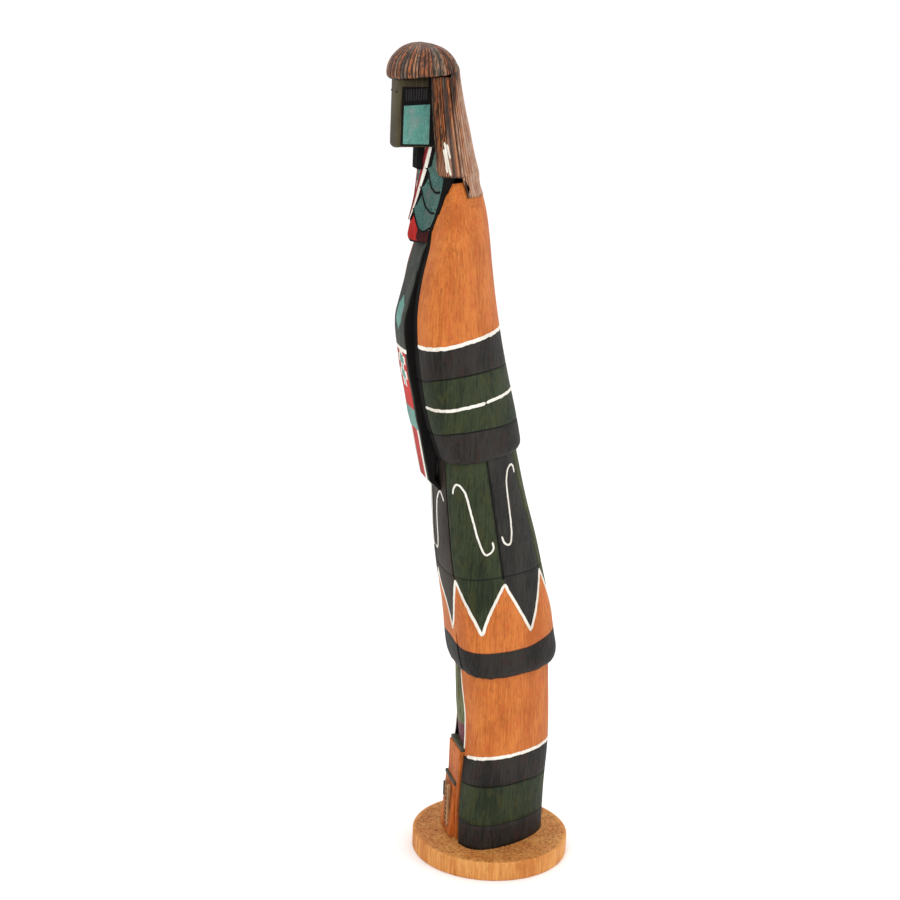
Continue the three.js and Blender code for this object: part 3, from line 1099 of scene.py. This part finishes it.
def crown_place(column, row):
    turn = 360 * column / CROWN_COLUMNS
    share, shade = CROWN_STRANDS[column]
    across = (turn - 180) / BACK_TURN
    if row < BACK_ROWS:
        if abs(across) > 1:
            tucked = min(1, (BACK_ROWS - row) / 4)
            return crown_skin(turn, 0).lerp(TUCKED_SPOT, tucked)
        spot = back_skin(across, row / BACK_ROWS)
        inward = (Vector((0, TUCKED_SPOT.y, spot.z)) - spot).normalized()
        return spot + inward * 0.8 * (1 - ridge(share)) * (0.5 + 0.5 * between(row, 0, 5))
    rise = (row - BACK_ROWS) / CROWN_ROWS
    spot = crown_skin(turn, rise)
    inward = (CROWN_MIDDLE - spot).normalized()
    return spot + inward * (1.1 - 0.4 * shade) * (1 - rise * 0.8) * (1 - ridge(share))


def strand_cut_shade(share):
    """How dark the painted shade in the cuts beside a strand is."""
    return (1 - ridge(share)) ** 0.8


def crown_cut_shade(column, row):
    across = (360 * column / CROWN_COLUMNS - 180) / BACK_TURN
    # Painted shade: the cap's tucked part under the rim, round the sides and front, is drawn fully dark.
    if row <= BACK_ROWS and abs(across) > 1:
        return 1.0
    rubbed = 0.4 if row < BACK_ROWS and abs(across) < 0.86 else 1
    return strand_cut_shade(CROWN_STRANDS[column][0]) * rubbed


def hair_height(row):
    return HAIR_FOOT + (HAIR_HEAD - HAIR_FOOT) * row / HAIR_ROWS


def hair_skin(angle, height):
    return sleeve_point(HAIR, angle, height, 2.2, 0.4)


def hair_place(column, row):
    spot = hair_skin(360 * column / HAIR_COLUMNS, hair_height(row))
    share, shade = HAIR_STRANDS[column]
    inward = -outward(spot, HAIR_AXIS)
    return spot + inward * (1.2 - 0.4 * shade) * (1 - ridge(share))


def hair_cut_shade(column, row):
    # Painted shade: the locks' tucked ends are drawn fully dark, the rest by the depth of the cuts.
    return 1.0 if hair_height(row) < TUCK_TOP else strand_cut_shade(HAIR_STRANDS[column][0])


CAP_SHADES = [(180, 100, 46), (116, 62, 30), (48, 32, 24), (112, 88, 70), (170, 116, 78)]
BACK_SHADES = [(168, 108, 70), (186, 140, 108), (142, 98, 74), (182, 148, 124), (160, 108, 78)]
BACK_LEAN = 0.222


def strand_shades(tree, shade, shades):
    """The colours the shades of the strands run through."""
    ramp = wire(tree, "ShaderNodeValToRGB", {0: shade})
    stops = ramp.color_ramp
    stops.elements[0].color = colour(*shades[0])
    stops.elements[1].color = colour(*shades[-1])
    for index, paint in enumerate(shades[1:-1]):
        stops.elements.new((index + 1) / (len(shades) - 1)).color = colour(*paint)
    return ramp.outputs[0]


def hair_finish():
    """Scorched hair, rubbed paler down the back: each strand has its own tone, and painted shade darkens the
    cuts.
    """
    material, tree = start_finish("scorched_hair_cut_shade")
    shade = wire(tree, "ShaderNodeAttribute", attribute_name="tone").outputs["Fac"]
    drift = wire(tree, "ShaderNodeMath", {0: noise_cloud(tree, 2.4, 4, 3), 1: 1.2}, operation="MULTIPLY")
    shade = wire(tree, "ShaderNodeMath", {0: shade, 1: drift.outputs[0]}, operation="ADD").outputs[0]
    shade = wire(tree, "ShaderNodeMath", {0: shade, 1: 0.6}, operation="SUBTRACT").outputs[0]
    streaks = noise_cloud(tree, 0.7, 8, 4)
    cap = strand_shades(tree, shade, CAP_SHADES)
    cap = blend(tree, spread(tree, streaks, 0.47, 0.6, 0.9), cap, colour(36, 22, 14))
    back = strand_shades(tree, shade, BACK_SHADES)
    back = blend(tree, spread(tree, streaks, 0.5, 0.66, 0.6), back, colour(104, 70, 50))
    place = tree.nodes["place"].outputs["Object"]
    lean = wire(tree, "ShaderNodeVectorMath", {0: place, 1: (0, 1, -BACK_LEAN)},
                operation="DOT_PRODUCT")
    rubbed = spread(tree, lean.outputs["Value"], -128 * MM, -124 * MM)
    split = wire(tree, "ShaderNodeSeparateXYZ", {0: place}).outputs["Z"]
    below = spread(tree, split, 409 * MM, 401 * MM)
    rubbed = wire(tree, "ShaderNodeMath", {0: rubbed, 1: below}, operation="MULTIPLY").outputs[0]
    paint = blend(tree, rubbed, cap, back)
    # Painted shade in the cuts, under the rim and at the tucked ends, from the attribute read here.
    carved = wire(tree, "ShaderNodeAttribute", attribute_name="cut_shade").outputs["Fac"]
    paint = blend(tree, carved, paint, colour(12, 8, 6))
    end_finish(tree, paint, streaks, 0.42, 0.5, 0.4)
    return material


HAIR_PROUD = 0.12


def on_hair(angle, height):
    spot = hair_skin(angle, height)
    return spot + outward(spot, HAIR_AXIS) * HAIR_PROUD


hair = bmesh.new()
tube(hair, CROWN_COLUMNS, BACK_ROWS + CROWN_ROWS, crown_place, None, crown_cut_shade,
     lambda column, row: CROWN_STRANDS[column][1])
tube(hair, HAIR_COLUMNS, HAIR_ROWS, hair_place, None, hair_cut_shade,
     lambda column, row: HAIR_STRANDS[column][1])
WHITE_STRANDS = [
    [(72, 371.6), (76, 366), (79, 360.2)], [(77, 375), (82, 366), (86, 359)],
    [(84, 374), (87.5, 367)]]
for strand in WHITE_STRANDS:
    for side in (1, -1):
        stroke(hair, on_hair, eased(mirrored_run(strand, side), 6), 1.1, seed=7, blunt=0.2, paint=1)
set_piece(hair, "hair", [hair_finish(), white_paint])


# ---------------------------------------------------------------- floor, light and camera
# A plain pale floor under soft white light, with the camera on the figure's left side.
floor_mesh = bmesh.new()
bmesh.ops.create_grid(floor_mesh, x_segments=1, y_segments=1, size=30)
floor_data = bpy.data.meshes.new("floor")
floor_mesh.to_mesh(floor_data)
floor_mesh.free()
floor = bpy.data.objects.new("floor", floor_data)
bpy.context.collection.objects.link(floor)
pale = bpy.data.materials.new("pale_floor")
pale.use_nodes = True
pale.node_tree.nodes["Principled BSDF"].inputs["Base Color"].default_value = (0.96, 0.96, 0.96, 1)
pale.node_tree.nodes["Principled BSDF"].inputs["Roughness"].default_value = 0.9
floor_data.materials.append(pale)

scene = bpy.context.scene
scene.view_settings.view_transform = "Standard"
world = bpy.data.worlds.new("soft_room")
world.use_nodes = True
world.node_tree.nodes["Background"].inputs["Color"].default_value = (1, 1, 1, 1)
world.node_tree.nodes["Background"].inputs["Strength"].default_value = 1.06
scene.world = world


def soft_light(name, place, target, size, power):
    """A square soft box that faces its target."""
    light = bpy.data.lights.new(name, "AREA")
    light.size = size
    light.energy = power
    made = bpy.data.objects.new(name, light)
    made.location = place
    made.rotation_euler = (Vector(target) - Vector(place)).to_track_quat("-Z", "Y").to_euler()
    bpy.context.collection.objects.link(made)


MIDDLE = (0, -0.02, 0.22)
soft_light("key", (0.9, -0.9, 1.1), MIDDLE, 0.7, 4)
soft_light("fill", (0.9, 0.8, 0.7), MIDDLE, 0.5, 3)
soft_light("top", (-0.2, 0.1, 1.4), MIDDLE, 0.8, 3)

CAMERA_TURN = 73
CAMERA_FAR = 0.945
CAMERA_HEIGHT = 0.470
LOOK_TURN = 74.77
LOOK_DOWN = 14.96
CAMERA_ROLL = 2.3
look = Vector((-sin(radians(LOOK_TURN)) * cos(radians(LOOK_DOWN)),
               cos(radians(LOOK_TURN)) * cos(radians(LOOK_DOWN)), -sin(radians(LOOK_DOWN))))
level_right = look.cross(Vector((0, 0, 1))).normalized()
level_up = level_right.cross(look)
right = level_right * cos(radians(CAMERA_ROLL)) + level_up * sin(radians(CAMERA_ROLL))
upward = level_up * cos(radians(CAMERA_ROLL)) - level_right * sin(radians(CAMERA_ROLL))
camera_data = bpy.data.cameras.new("camera")
camera_data.sensor_width = 36
camera_data.lens = 77.3
camera = bpy.data.objects.new("camera", camera_data)
camera.matrix_world = Matrix((right, upward, -look)).transposed().to_4x4()
camera.location = (CAMERA_FAR * sin(radians(CAMERA_TURN)), -CAMERA_FAR * cos(radians(CAMERA_TURN)),
                   CAMERA_HEIGHT)
bpy.context.collection.objects.link(camera)
scene.camera = camera
